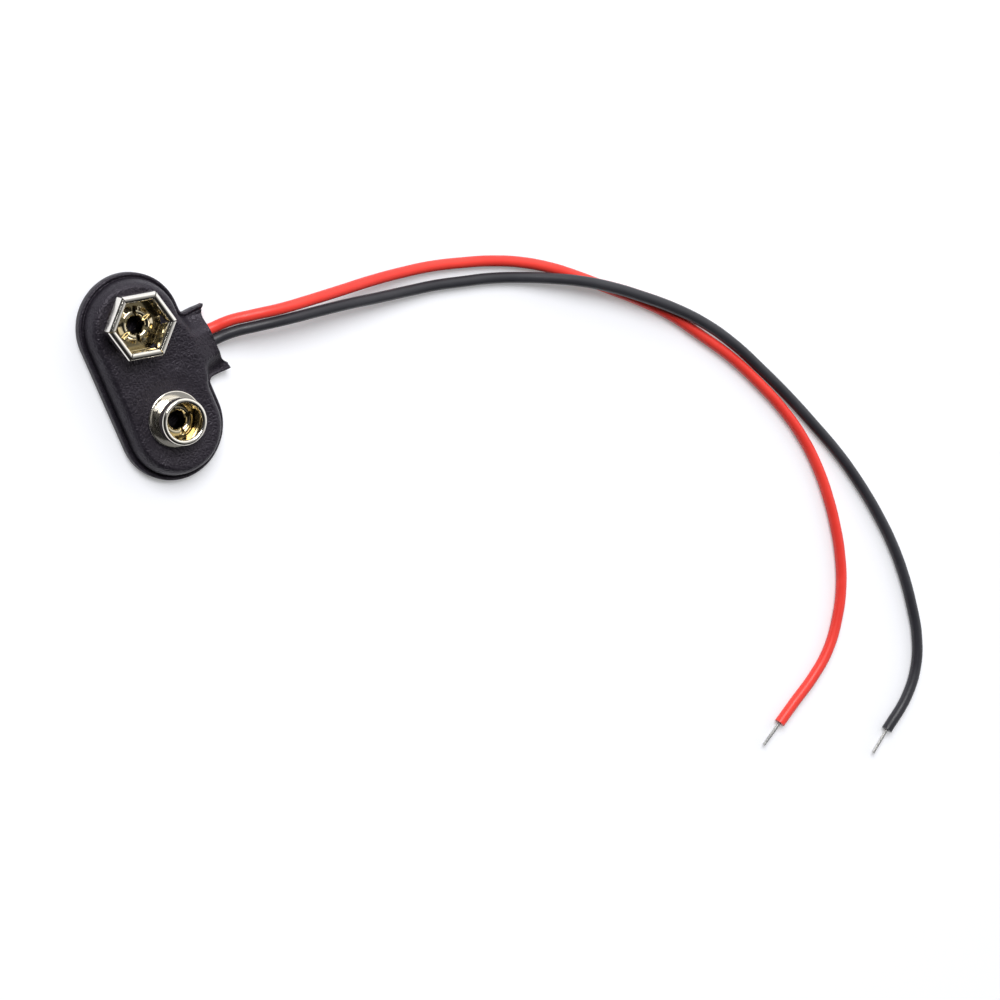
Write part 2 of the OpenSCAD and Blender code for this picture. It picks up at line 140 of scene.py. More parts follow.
wall.inputs["To Max"].default_value = TENT_BRIGHT
tent_light = tree.nodes.new("ShaderNodeBackground")
white = tree.nodes.new("ShaderNodeBackground")
white.inputs["Color"].default_value = (1, 1, 1, 1)
path = tree.nodes.new("ShaderNodeLightPath")
choice = tree.nodes.new("ShaderNodeMixShader")
out = tree.nodes.new("ShaderNodeOutputWorld")
tree.links.new(direction.outputs["Generated"], parts.inputs[0])
tree.links.new(parts.outputs["Z"], tent.inputs["Fac"])
tree.links.new(tent.outputs["Color"], tent_light.inputs["Color"])
tree.links.new(direction.outputs["Generated"], bright_side.inputs[0])
tree.links.new(bright_side.outputs["Value"], wall.inputs["Value"])
tree.links.new(wall.outputs["Result"], tent_light.inputs["Strength"])
tree.links.new(path.outputs["Is Camera Ray"], choice.inputs["Fac"])
tree.links.new(tent_light.outputs[0], choice.inputs[1])
tree.links.new(white.outputs[0], choice.inputs[2])
tree.links.new(choice.outputs[0], out.inputs["Surface"])
lamp_data = bpy.data.lights.new("side_lamp", "AREA")
lamp_data.shape = "DISK"
lamp_data.size = LAMP_SIZE
lamp_data.energy = LAMP_WATTS
lamp = bpy.data.objects.new("side_lamp", lamp_data)
lamp.location = LAMP_PLACE
lamp.rotation_euler = (-LAMP_PLACE).to_track_quat("-Z", "Y").to_euler()
bpy.context.scene.collection.objects.link(lamp)

# Leads: two stranded wires in soft PVC, soldered under the rivets, out through the mouth of the tab.
# They rise a little, fall to the table and sweep round in one loose arc, the black one over the red one.
LEAD_D = 1.4
SHEET = 0.6
LEAD_GAP = 0.05
inside = SHEET + LEAD_GAP
laid = 0.03
over = 1.47
RED_ROUTE = [
    (2.4, 3.6, inside), (3.6, 2.7, inside), (5.4, 1.7, inside), (7.3, 1.1, inside), (9.2, 0.9, inside),
    (11.6, 0.9, 1.5), (14.1, 0.45, 2.4), (17.9, -0.45, 2.95), (22, -1.3, 2.8), (26.2, -2.2, 2.15),
    (30.5, -3.15, 1.3), (34.8, -4.25, 0.6), (38.9, -5.45, 0.2), (43, -7, laid), (46.5, -8.5, laid),
    (50, -10.4, laid), (53.5, -12.9, laid), (56.5, -15.6, laid), (60, -19.1, laid), (63.2, -22.3, laid),
    (66.3, -25.9, laid), (69.1, -30.1, laid), (71.8, -34.5, laid), (74.2, -39.6, laid), (76, -44.4, laid),
    (77.1, -49, laid), (77.5, -53.5, laid), (77.3, -58, laid), (76.8, -61.5, laid), (76, -65, laid),
    (74.5, -69, laid), (72.3, -72.6, laid), (69.4, -75.8, laid), (66, -78, laid), (62.5, -79.6, laid),
    (59.3, -81.1, laid),
]
BLACK_ROUTE = [
    (2.4, -3.6, inside), (3.6, -2.7, inside), (5.4, -1.4, inside), (7.3, -0.6, inside), (9.2, -0.55, inside),
    (11.6, -0.6, 1.4), (14.2, -1.1, 2.2), (18, -2, 2.7), (22.1, -3, 2.55), (26.3, -4.15, 1.95),
    (30.6, -5.5, 1.15), (34.8, -6.75, 0.5), (38.5, -7.85, 0.15), (42, -9.1, laid), (45.5, -10.4, laid),
    (49, -12, 0.2), (52.5, -13.8, 0.85), (56.2, -16, over), (59.7, -18.6, over), (63, -21.5, over),
    (66.4, -24.8, 1.4), (69.7, -28.6, 0.95), (72.6, -33, 0.55), (75.1, -38, 0.15), (77.2, -42.8, laid),
    (79.2, -48.1, laid), (81, -53.4, laid), (82.2, -58.3, laid), (83, -63.1, laid), (83.4, -67.8, laid),
    (83.3, -72.2, laid), (82.8, -76.3, laid), (81.9, -80.4, laid), (80.2, -84, laid), (77.4, -87, laid),
    (73, -89.6, laid),
]
RED_PVC = (0.92, 0.060, 0.043)
RED_PVC_DEEP = (0.82, 0.046, 0.034)
BLACK_PVC = (0.038, 0.038, 0.045)
BLACK_PVC_DEEP = (0.027, 0.027, 0.033)
PVC_DRIFT_SCALE = 160
PVC_RIPPLE_SCALE = 2600
PVC_RIPPLE_H = 0.02
PVC_ROUGH_SCALE = 700
PVC_ROUGH = (0.3, 0.44)


def mottled(tree, coordinates, light, deep, scale):
    """Colour that drifts softly between two tones."""
    drift = tree.nodes.new("ShaderNodeTexNoise")
    drift.inputs["Scale"].default_value = scale
    drift.inputs["Detail"].default_value = 4
    tones = tree.nodes.new("ShaderNodeValToRGB")
    tones.color_ramp.elements[0].position = 0.35
    tones.color_ramp.elements[0].color = (*deep, 1)
    tones.color_ramp.elements[1].position = 0.65
    tones.color_ramp.elements[1].color = (*light, 1)
    tree.links.new(coordinates, drift.inputs["Vector"])
    tree.links.new(drift.outputs["Fac"], tones.inputs["Fac"])
    return tones.outputs["Color"]


def uneven(tree, coordinates, scale, low, high):
    """A value, such as roughness, that wanders between two limits."""
    wander = tree.nodes.new("ShaderNodeTexNoise")
    wander.inputs["Scale"].default_value = scale
    wander.inputs["Detail"].default_value = 3
    limits = tree.nodes.new("ShaderNodeMapRange")
    limits.inputs["From Min"].default_value = 0.3
    limits.inputs["From Max"].default_value = 0.7
    limits.inputs["To Min"].default_value = low
    limits.inputs["To Max"].default_value = high
    tree.links.new(coordinates, wander.inputs["Vector"])
    tree.links.new(wander.outputs["Fac"], limits.inputs["Value"])
    return limits.outputs["Result"]


def pvc(name, light, deep):
    material = bpy.data.materials.new(name)
    tree = empty_tree(material)
    place = tree.nodes.new("ShaderNodeTexCoord").outputs["Object"]
    surface = tree.nodes.new("ShaderNodeBsdfPrincipled")
    surface.inputs["Specular IOR Level"].default_value = 0.35
    ripple = tree.nodes.new("ShaderNodeTexNoise")
    ripple.inputs["Scale"].default_value = PVC_RIPPLE_SCALE
    ripple.inputs["Detail"].default_value = 5
    bump = tree.nodes.new("ShaderNodeBump")
    bump.inputs["Strength"].default_value = 0.5
    bump.inputs["Distance"].default_value = PVC_RIPPLE_H * MM
    out = tree.nodes.new("ShaderNodeOutputMaterial")
    tree.links.new(mottled(tree, place, light, deep, PVC_DRIFT_SCALE), surface.inputs["Base Color"])
    tree.links.new(uneven(tree, place, PVC_ROUGH_SCALE, *PVC_ROUGH), surface.inputs["Roughness"])
    tree.links.new(place, ripple.inputs["Vector"])
    tree.links.new(ripple.outputs["Fac"], bump.inputs["Height"])
    tree.links.new(bump.outputs["Normal"], surface.inputs["Normal"])
    tree.links.new(surface.outputs[0], out.inputs["Surface"])
    return material


def lead_points(route):
    return [Vector((x, y, height + LEAD_D / 2)) * MM for x, y, height in route]


def lead(name, route, material):
    curve = bpy.data.curves.new(name, "CURVE")
    curve.dimensions = "3D"
    curve.bevel_depth = LEAD_D / 2 * MM
    curve.bevel_resolution = 6
    curve.resolution_u = 6
    curve.use_fill_caps = True
    curve.materials.append(material)
    spline = curve.splines.new("BEZIER")
    spline.bezier_points.add(len(route) - 1)
    for knot, place in zip(spline.bezier_points, lead_points(route)):
        knot.co = place
        knot.handle_left_type = "AUTO"
        knot.handle_right_type = "AUTO"
    piece = bpy.data.objects.new(name, curve)
    bpy.context.scene.collection.objects.link(piece)
    return piece


red_lead = lead("red_lead", RED_ROUTE, pvc("red_pvc", RED_PVC, RED_PVC_DEEP))
black_lead = lead("black_lead", BLACK_ROUTE, pvc("black_pvc", BLACK_PVC, BLACK_PVC_DEEP))

# Bare ends of the leads: seven tinned copper strands, twisted together.
# One end stands out of the cut insulation, and the other goes into the solder under its rivet.
CORE_R = 0.2
STRAND_R = 0.07
STRAND_LAY = 2.6
TIP_L = 3.5
ROOT_L = 2
HIDDEN_L = 0.3
STRAND_STEP = 0.1
TINNED = (0.50, 0.50, 0.49)
TINNED_DULL = (0.36, 0.36, 0.355)


def metal(name, light, deep, rough_low, rough_high, drift_scale):
    """Plated or tinned metal: two close tones and a finish that wanders a little."""
    material = bpy.data.materials.new(name)
    tree = empty_tree(material)
    place = tree.nodes.new("ShaderNodeTexCoord").outputs["Object"]
    surface = tree.nodes.new("ShaderNodeBsdfPrincipled")
    surface.inputs["Metallic"].default_value = 1
    out = tree.nodes.new("ShaderNodeOutputMaterial")
    tree.links.new(mottled(tree, place, light, deep, drift_scale), surface.inputs["Base Color"])
    tree.links.new(uneven(tree, place, 3 * drift_scale, rough_low, rough_high), surface.inputs["Roughness"])
    tree.links.new(surface.outputs[0], out.inputs["Surface"])
    return material


def strand_paths(start, along, length):
    """The centre strand and six round it, as points along the bare end, in metres."""
    side = along.cross(Vector((0, 0, 1))).normalized()
    up = side.cross(along)
    stations = np.arange(0, length + STRAND_STEP / 2, STRAND_STEP)
    paths = [[start + along * s * MM for s in stations]]
    for k in range(6):
        turns = [2 * math.pi * (s / STRAND_LAY + k / 6) for s in stations]
        out_r = CORE_R - STRAND_R
        paths.append([
            start + (along * s + (side * math.cos(a) + up * math.sin(a)) * out_r) * MM
            for s, a in zip(stations, turns)
        ])
    return paths


def wire_tree(material):
    """Turns paths into round wires, with the wire's radius as its input."""
    tree = bpy.data.node_groups.new("wires_on_paths", "GeometryNodeTree")
    tree.interface.new_socket("Geometry", in_out="INPUT", socket_type="NodeSocketGeometry")
    radius = tree.interface.new_socket("Wire radius", in_out="INPUT", socket_type="NodeSocketFloat")
    tree.interface.new_socket("Geometry", in_out="OUTPUT", socket_type="NodeSocketGeometry")
    given = tree.nodes.new("NodeGroupInput")
    paths = tree.nodes.new("GeometryNodeMeshToCurve")
    section = tree.nodes.new("GeometryNodeCurvePrimitiveCircle")
    section.inputs["Resolution"].default_value = 10
    wires = tree.nodes.new("GeometryNodeCurveToMesh")
    wires.inputs["Fill Caps"].default_value = True
    real = tree.nodes.new("GeometryNodeRealizeInstances")
    coat = tree.nodes.new("GeometryNodeSetMaterial")
    coat.inputs["Material"].default_value = material
    result = tree.nodes.new("NodeGroupOutput")
    tree.links.new(given.outputs["Geometry"], paths.inputs["Mesh"])
    tree.links.new(given.outputs["Wire radius"], section.inputs["Radius"])
    tree.links.new(paths.outputs["Curve"], wires.inputs["Curve"])
    tree.links.new(section.outputs["Curve"], wires.inputs["Profile Curve"])
    tree.links.new(wires.outputs["Mesh"], real.inputs["Geometry"])
    tree.links.new(real.outputs["Geometry"], coat.inputs["Geometry"])
    tree.links.new(coat.outputs["Geometry"], result.inputs["Geometry"])
    return tree, radius.identifier


def settle(piece, material, sharp_angle):
    """Makes the result of a piece's nodes its own plain mesh, smooth but for its sharp edges."""
    result = piece.evaluated_get(bpy.context.evaluated_depsgraph_get())
    mesh = bpy.data.meshes.new_from_object(result)
    piece.modifiers.clear()
    piece.data = mesh
    mesh.materials.clear()
    mesh.materials.append(material)
    mesh.shade_smooth()
    mesh.set_sharp_from_angle(angle=math.radians(sharp_angle))


def bare_ends(name, route, material):
    points = lead_points(route)
    root_along = (points[0] - points[1]).normalized()
    tip_along = (points[-1] - points[-2]).normalized()
    paths = strand_paths(points[0] - root_along * HIDDEN_L * MM, root_along, ROOT_L + HIDDEN_L)
    paths += strand_paths(points[-1] - tip_along * HIDDEN_L * MM, tip_along, TIP_L + HIDDEN_L)
    mesh = bpy.data.meshes.new(name)
    edges = []
    count = 0
    for path in paths:
        edges += [(count + i, count + i + 1) for i in range(len(path) - 1)]
        count += len(path)
    mesh.from_pydata([p for path in paths for p in path], edges, [])
    piece = bpy.data.objects.new(name, mesh)
    bpy.context.scene.collection.objects.link(piece)
    wires = piece.modifiers.new("wires", "NODES")
    wires.node_group, radius = wire_tree(material)
    wires[radius] = STRAND_R * MM
    settle(piece, material, 50)
    return piece


tinned = metal("tinned_strands", TINNED, TINNED_DULL, 0.4, 0.55, 900)
MOUTH_X = 8.7
for cord, colour, route in ((red_lead, "red", RED_ROUTE), (black_lead, "black", BLACK_ROUTE)):
    strands = bare_ends(colour + "_strands", route, tinned)
    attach(strands, "root")
    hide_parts(colour + "_conductor")
    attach(cord, "root")
    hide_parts(colour + "_insulation")

# Front cover: black leather-grained vinyl, formed into a pillow over the card inside it and welded
# to the back cover round its border. Its tab comes down over the leads and ends in two ears.
PLATE_L = 26.4
PLATE_W = 13.1
PLATE_SHIFT = 1
PLATE_OUT = 0.15
TAB_W = 8.7
TAB_SHIFT = 0.2
EAR_REACH = 0.9
EAR_BLUNT = 0.8
NOTCH_R = 0.6
BORDER = 0.65
GROOVE = 0.15
GROOVE_W = 0.25
SHOULDER = 1.1
FACE_Z = 3.3
CONTACT_Y = 6.35
HOLE_R = 1.32
EDGE_ROUND = 0.15
BEAD_H = 0.08
FINE_STEP = 0.15
plate_r = PLATE_W / 2
end_offset = (PLATE_L - PLATE_W) / 2
tab_half = TAB_W / 2
side_x = PLATE_OUT + plate_r
notch_x = side_x + NOTCH_R
notch_offset = tab_half + NOTCH_R
crown = BORDER + SHOULDER


def eased(t):
    t = np.clip(t, 0, 1)
    return t * t * (3 - 2 * t)


def mouth_at(v):
    """Where the tab ends at a place across it: one ear comes to a point, and the other is blunt."""
    ear = np.where(v > 0, tab_half, tab_half - EAR_BLUNT)
    return MOUTH_X + EAR_REACH * np.minimum(np.abs(v) / ear, 1) ** 4


def straight(start, end, step):
    count = max(2, round(math.dist(start, end) / step) + 1)
    return np.linspace(start, end, count)


def bow(x, y, r, start, end, step):
    count = max(3, round(r * abs(math.radians(end - start)) / step) + 1)
    a = np.radians(np.linspace(start, end, count))
    return np.column_stack([x + r * np.cos(a), y + r * np.sin(a)])


def side_run(inset, side, step, past_mouth=0):
    """One half of the plate's edge, inset by a distance, from an ear to the far side of the plate."""
    v = tab_half - inset
    tab_y = side * v - TAB_SHIFT
    notch_y = side * notch_offset - TAB_SHIFT
    end_y = side * end_offset - PLATE_SHIFT
    r = plate_r - inset
    notch = bow(notch_x, notch_y, NOTCH_R + inset, -90 * side, -180 * side, step)
    end = bow(PLATE_OUT, end_y, r, 0, 180 * side, step)
    runs = [
        straight((float(mouth_at(side * v)) + past_mouth, tab_y), (notch_x, tab_y), step)[:-1],
        notch[:-1],
        straight(notch[-1], end[0], step)[:-1],
        end[:-1],
        straight(end[-1], (PLATE_OUT - r, -PLATE_SHIFT), step),
    ]
    return np.concatenate(runs)


def edge_run(inset, step, past_mouth=0):
    other = side_run(inset, -1, step, past_mouth)[::-1]
    return np.concatenate([side_run(inset, 1, step, past_mouth), other[1:]])


def edge_distance(points):
    """How far each point lies inside the plate's edge, the mouth of the tab apart."""
    edge = edge_run(0, 2 * FINE_STEP, past_mouth=3)
    a = edge[:-1]
    run = edge[1:] - a
    run_sq = (run ** 2).sum(1)
    nearest = []
    for block in np.array_split(points, max(1, len(points) // 2000)):
        t = np.clip(((block[:, None] - a) * run).sum(2) / run_sq, 0, 1)
        gap = block[:, None] - (a + t[..., None] * run)
        nearest.append(np.sqrt((gap ** 2).sum(2)).min(1))
    return np.concatenate(nearest)


def plan_of_sheet(insets, step, core_step, holes):
    """Points and triangles that fill the plate's outline, round a rivet hole at each y that is given."""
    rings = [edge_run(inset, step) for inset in insets]
    last = tab_half - insets[-1]
    mouth_v = straight((-last, 0), (last, 0), core_step)[1:-1, 0]
    mouth = np.column_stack([mouth_at(mouth_v), mouth_v - TAB_SHIFT])
    xs = np.arange(-plate_r, MOUTH_X + EAR_REACH, core_step)
    ys = np.arange(-PLATE_L, PLATE_L, core_step * math.sqrt(0.75))
    grid_x, grid_y = np.meshgrid(xs, ys)
    grid_x[::2] += core_step / 2
    grid = np.column_stack([grid_x.ravel(), grid_y.ravel()])
    clear = core_step * 0.6
    across_plate = np.abs(grid[:, 0] - PLATE_OUT) < plate_r
    within = across_plate & (np.abs(grid[:, 1] + PLATE_SHIFT) < end_offset)
    for side in (-1, 1):
        end_y = side * end_offset - PLATE_SHIFT
        within |= np.hypot(grid[:, 0] - PLATE_OUT, grid[:, 1] - end_y) < plate_r
    within |= (np.abs(grid[:, 1] + TAB_SHIFT) < notch_offset + insets[-1]) & (grid[:, 0] > 0)
    grid = grid[within]
    grid = grid[(np.abs(grid[:, 1] + TAB_SHIFT) < tab_half) | (grid[:, 0] < notch_x)]
    flat_v = np.clip(grid[:, 1] + TAB_SHIFT, -tab_half, tab_half)
    grid = grid[grid[:, 0] < mouth_at(flat_v) - clear]
    grid = grid[edge_distance(grid) > insets[-1] + clear]
    rims = [bow(0, y, HOLE_R, 0, 360, step)[:-1] for y in holes]
    for y in holes:
        grid = grid[np.hypot(grid[:, 0], grid[:, 1] - y) > HOLE_R + clear]
    groups = rings + [mouth, grid] + rims
    starts = np.cumsum([0] + [len(g) for g in groups])
    points = np.concatenate(groups)
    ring_ends = [starts[i] for i in range(len(rings))] + [starts[i + 1] - 1 for i in range(len(rings))]
    across = ring_ends + list(range(starts[len(rings)], starts[len(rings) + 1]))
    across.sort(key=lambda i: points[i, 1])
    loops = [list(range(starts[0], starts[1] - 1)) + across]
    for rim_start, rim_end in zip(starts[len(rings) + 2:], starts[len(rings) + 3:]):
        loops.append(list(range(rim_start, rim_end)))
    bounds = [(a, b) for loop in loops for a, b in zip(loop, loop[1:] + loop[:1])]
    placed, _, faces, _, _, _ = delaunay_2d_cdt([Vector(p) for p in points], bounds, [], 1, 1e-5)
    placed = np.array([tuple(p) for p in placed])
    faces = np.array(faces)
    middle = placed[faces].mean(1)
    solid = np.ones(len(faces), bool)
    for y in holes:
        solid &= np.hypot(middle[:, 0], middle[:, 1] - y) > HOLE_R * 0.99
    return placed, faces[solid]


def closed_sheet(name, plan, faces, top, bottom, material):
    """A sheet with its own height over each point, above and below, and walls along every rim."""
    count = len(plan)
    points = np.concatenate([np.column_stack([plan, top]), np.column_stack([plan, bottom])]) * MM
    edges = {}
    for a, b, c in faces.tolist():
        for edge in ((a, b), (b, c), (c, a)):
            edges[edge] = True
    rims = [(a, b) for a, b in edges if (b, a) not in edges]
    walls = [(a, a + count, b + count, b) for a, b in rims]
    under = faces[:, ::-1] + count
    piece = plain_mesh(name, points, faces.tolist() + under.tolist() + walls, material)
    piece.data.shade_smooth()
    piece.data.set_sharp_from_angle(angle=math.radians(50))
    return piece


slope_gap = 0.7
slope_x = side_x - crown + slope_gap
pillow_rise = FACE_Z - 2 * SHEET
mouth_rise = LEAD_D + 2 * LEAD_GAP


def rise(x):
    """How far the pillow stands above the border: less and less towards the mouth of the tab."""
    return pillow_rise + (mouth_rise - pillow_rise) * eased((x - slope_x) / (MOUTH_X - slope_x))


EAR_LIFT = 0.45
EAR_CURL_X = 1.7
EAR_CURL_W = 1.6


def ear_lift(x, y):
    """The ears curl up a little at their tips."""
    out = eased((x - MOUTH_X - EAR_REACH + EAR_CURL_X) / EAR_CURL_X)
    aside = eased((np.abs(y + TAB_SHIFT) - tab_half + EAR_CURL_W) / EAR_CURL_W)
    return EAR_LIFT * out * aside


TAB_FOLD = 2.4
DISH = 0.22
DISH_R = 3.5
DISH_RUN = 2.2
WAVES = [(1.7, 0.04), (0.6, 0.02)]


def risen(x, d, start, run):
    """Share of the rise at an inset: a round shoulder on the plate that softens to a long fold on the tab."""
    shoulder = np.sqrt(1 - (1 - np.clip((d - start) / run, 0, 1)) ** 2)
    fold = eased((d - BORDER) / TAB_FOLD)
    on_tab = eased((x - slope_x) / (notch_x - slope_x))
    return shoulder + (fold - shoulder) * on_tab


def front_top(plan, d):
    x, y = plan.T
    lip = np.clip(EDGE_ROUND - d, 0, None)
    z = 2 * SHEET - EDGE_ROUND + np.sqrt(EDGE_ROUND ** 2 - lip ** 2)
    z += BEAD_H * np.sin(np.pi * np.clip(d / (BORDER - GROOVE_W), 0, 1))
    z -= GROOVE * np.sin(np.pi * np.clip((d - BORDER + GROOVE_W) / GROOVE_W, 0, 1))
    share = risen(x, d, BORDER, SHOULDER)
    z += rise(x) * share
    for contact_y in (CONTACT_Y, -CONTACT_Y):
        share = share * eased((np.hypot(x, y - contact_y) - DISH_R) / DISH_RUN)
    z += DISH * share
    for size, height in WAVES:
        z += height * share * np.array([noise.noise(Vector((px, py, 0)) / size) for px, py in plan])
    return z + ear_lift(x, y)


def front_bottom(plan, d):
    x, y = plan.T
    return SHEET + rise(x) * risen(x, d, BORDER + SHEET, SHOULDER - SHEET) + ear_lift(x, y)


VINYL_FRONT = (0.0150, 0.0125, 0.0182)
VINYL_FRONT_DEEP = (0.0104, 0.0085, 0.013)
PEBBLE_SCALE = 2300
PEBBLE_H = 0.09
PEBBLE_BEND_SCALE = 900
PEBBLE_BEND = 0.5
WRINKLE_SCALE = 1100
WRINKLE_H = 0.25
VINYL_DRIFT_SCALE = 300
VINYL_ROUGH_SCALE = 500
VINYL_ROUGH = (0.40, 0.52)


def vinyl(name, light, deep):
    """Black vinyl with a pebbled leather grain pressed into it, soft wrinkles and a dull sheen."""
    material = bpy.data.materials.new(name)
    tree = empty_tree(material)
    place = tree.nodes.new("ShaderNodeTexCoord").outputs["Object"]
    bend = tree.nodes.new("ShaderNodeTexNoise")
    bend.inputs["Scale"].default_value = PEBBLE_BEND_SCALE
    bend.inputs["Detail"].default_value = 2
    bent = tree.nodes.new("ShaderNodeVectorMath")
    bent.operation = "MULTIPLY_ADD"
    bent.inputs[1].default_value = 3 * (PEBBLE_BEND * MM,)
    pebbles = tree.nodes.new("ShaderNodeTexVoronoi")
    pebbles.feature = "DISTANCE_TO_EDGE"
    pebbles.inputs["Scale"].default_value = PEBBLE_SCALE
    pebble_tops = tree.nodes.new("ShaderNodeMapRange")
    pebble_tops.interpolation_type = "SMOOTHSTEP"
    pebble_tops.inputs["From Max"].default_value = 0.3
    wrinkles = tree.nodes.new("ShaderNodeTexNoise")
    wrinkles.inputs["Scale"].default_value = WRINKLE_SCALE
    wrinkles.inputs["Detail"].default_value = 4
    wrinkles.inputs["Distortion"].default_value = 0.6
    slack = tree.nodes.new("ShaderNodeBump")
    slack.inputs["Strength"].default_value = 0.36
    slack.inputs["Distance"].default_value = WRINKLE_H * MM
    grain = tree.nodes.new("ShaderNodeBump")
    grain.inputs["Strength"].default_value = 0.45
    grain.inputs["Distance"].default_value = PEBBLE_H * MM
    surface = tree.nodes.new("ShaderNodeBsdfPrincipled")
    surface.inputs["Specular IOR Level"].default_value = 0.42
    surface.inputs["Specular Tint"].default_value = (0.95, 0.88, 1, 1)
    out = tree.nodes.new("ShaderNodeOutputMaterial")
    tree.links.new(place, bend.inputs["Vector"])
    tree.links.new(bend.outputs["Color"], bent.inputs[0])
    tree.links.new(place, bent.inputs[2])
    tree.links.new(bent.outputs[0], pebbles.inputs["Vector"])
    tree.links.new(pebbles.outputs["Distance"], pebble_tops.inputs["Value"])
    tree.links.new(place, wrinkles.inputs["Vector"])
    tree.links.new(wrinkles.outputs["Fac"], slack.inputs["Height"])
    tree.links.new(pebble_tops.outputs["Result"], grain.inputs["Height"])
    tree.links.new(slack.outputs["Normal"], grain.inputs["Normal"])
    tree.links.new(grain.outputs["Normal"], surface.inputs["Normal"])
    tree.links.new(mottled(tree, place, light, deep, VINYL_DRIFT_SCALE), surface.inputs["Base Color"])
    tree.links.new(uneven(tree, place, VINYL_ROUGH_SCALE, *VINYL_ROUGH), surface.inputs["Roughness"])
    tree.links.new(surface.outputs[0], out.inputs["Surface"])
    return material


SHOULDER_RINGS = 14
shoulder_turns = [math.pi / 2 * i / SHOULDER_RINGS for i in range(SHOULDER_RINGS + 1)]
shoulder_insets = [crown - SHOULDER * math.cos(turn) for turn in shoulder_turns]
EDGE_INSETS = [0, 0.03, 0.08, EDGE_ROUND]
border_insets = EDGE_INSETS + [0.25, 0.33, 0.4, 0.44, 0.48, 0.525, 0.57, 0.61]
plan, faces = plan_of_sheet(border_insets + shoulder_insets, FINE_STEP, FINE_STEP, (CONTACT_Y, -CONTACT_Y))
inset = edge_distance(plan)
front_vinyl = vinyl("vinyl_front", VINYL_FRONT, VINYL_FRONT_DEEP)
top = front_top(plan, inset)
bottom = front_bottom(plan, inset)
front = closed_sheet("front_cover_vinyl", plan, faces, top, bottom, front_vinyl)
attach(front, "root")
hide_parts("front_cover")

# Back cover: a flat sheet of the same vinyl, cut to the same outline and welded to the front one.
# It lies on the table, with its cut edge a little rounded underneath.
BACK_STEP = 0.4
VINYL_BACK = (0.0142, 0.0118, 0.0170)
VINYL_BACK_DEEP = (0.0098, 0.0081, 0.0122)
back_insets = EDGE_INSETS + [BACK_STEP, 2 * BACK_STEP]
back_plan, back_faces = plan_of_sheet(back_insets, FINE_STEP, BACK_STEP, ())
back_inset = edge_distance(back_plan)
back_lift = ear_lift(*back_plan.T)
under_edge = np.clip(EDGE_ROUND - back_inset, 0, None)
back_bottom = EDGE_ROUND - np.sqrt(EDGE_ROUND ** 2 - under_edge ** 2) + back_lift
back_vinyl = vinyl("vinyl_back", VINYL_BACK, VINYL_BACK_DEEP)
back = closed_sheet("back_cover_vinyl", back_plan, back_faces, SHEET + back_lift, back_bottom, back_vinyl)
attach(back, "root")
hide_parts("back_cover")

# Hexagonal socket: six spring leaves stamped from plated brass sheet, on a floor that the rivet holds.
# Each leaf leans in to grip the battery's stud, rolls over at the rim and ends in a short skirt.
METAL_T = 0.25
HEX_AF = 7.72
GRIP_AF = 5.78
HEX_H = 3.15
HEX_TURN = 13
ROLL_W = 0.9
SKIRT_L = 1.3
GRIP_DROP = 1.1
ROOT_OUT = 0.35
SLIT_W = 0.12
SLIT_ROOT_W = 1.2
LEAVES = 6
LEAF_BENDS = (0.3, 0.8)
LEAF_STEPS = 18
LEAF_ACROSS = 24
BEND_FILL = 0.98
FLOOR_BRASS_AND_SHADE = 0.75
# The root of each leaf holds painted shade as well as brass tone, and this fades towards the rim.
LEAF_ROOT_BRASS_AND_SHADE = 0.7
LEAF_BRASS_AND_SHADE_DROP = 0.65
BRUSH_SCALE = 1500
BRUSH_H = 0.01
PLATE_ROUGH_SCALE = 1200
PLATE_ROUGH = (0.08, 0.18)
NICKEL = (0.86, 0.83, 0.77)
BRASSY = (0.62, 0.53, 0.33)
# Dark brown used as painted shade in the hollows and at the roots of the contacts.
PAINTED_SHADE_BROWN = (0.16, 0.12, 0.045)


def plated(name):
    """Bright nickel plate that turns brassy, and then dark brown with painted shade, as the piece's value for
    brass tone and painted shade rises.
    """
    material = bpy.data.materials.new(name)
    tree = empty_tree(material)
    place = tree.nodes.new("ShaderNodeTexCoord").outputs["Object"]
    brass_and_shade_value = tree.nodes.new("ShaderNodeAttribute")
    brass_and_shade_value.attribute_name = "brass_and_shade"
    tones = tree.nodes.new("ShaderNodeValToRGB")
    tones.color_ramp.elements[0].color = (*NICKEL, 1)
    # The dark brown end of the ramp is painted shade, not a colour of the metal.
    tones.color_ramp.elements[1].color = (*PAINTED_SHADE_BROWN, 1)
    tones.color_ramp.elements.new(0.5).color = (*BRASSY, 1)
    brushed = tree.nodes.new("ShaderNodeTexNoise")
    brushed.inputs["Scale"].default_value = BRUSH_SCALE
    brushed.inputs["Detail"].default_value = 4
    bump = tree.nodes.new("ShaderNodeBump")
    bump.inputs["Strength"].default_value = 0.05
    bump.inputs["Distance"].default_value = BRUSH_H * MM
    surface = tree.nodes.new("ShaderNodeBsdfPrincipled")
    surface.inputs["Metallic"].default_value = 1
    out = tree.nodes.new("ShaderNodeOutputMaterial")
    tree.links.new(brass_and_shade_value.outputs["Fac"], tones.inputs["Fac"])
    tree.links.new(tones.outputs["Color"], surface.inputs["Base Color"])
    tree.links.new(uneven(tree, place, PLATE_ROUGH_SCALE, *PLATE_ROUGH), surface.inputs["Roughness"])
    tree.links.new(place, brushed.inputs["Vector"])
    tree.links.new(brushed.outputs["Fac"], bump.inputs["Height"])
    tree.links.new(bump.outputs["Normal"], surface.inputs["Normal"])
    tree.links.new(surface.outputs[0], out.inputs["Surface"])
    return material


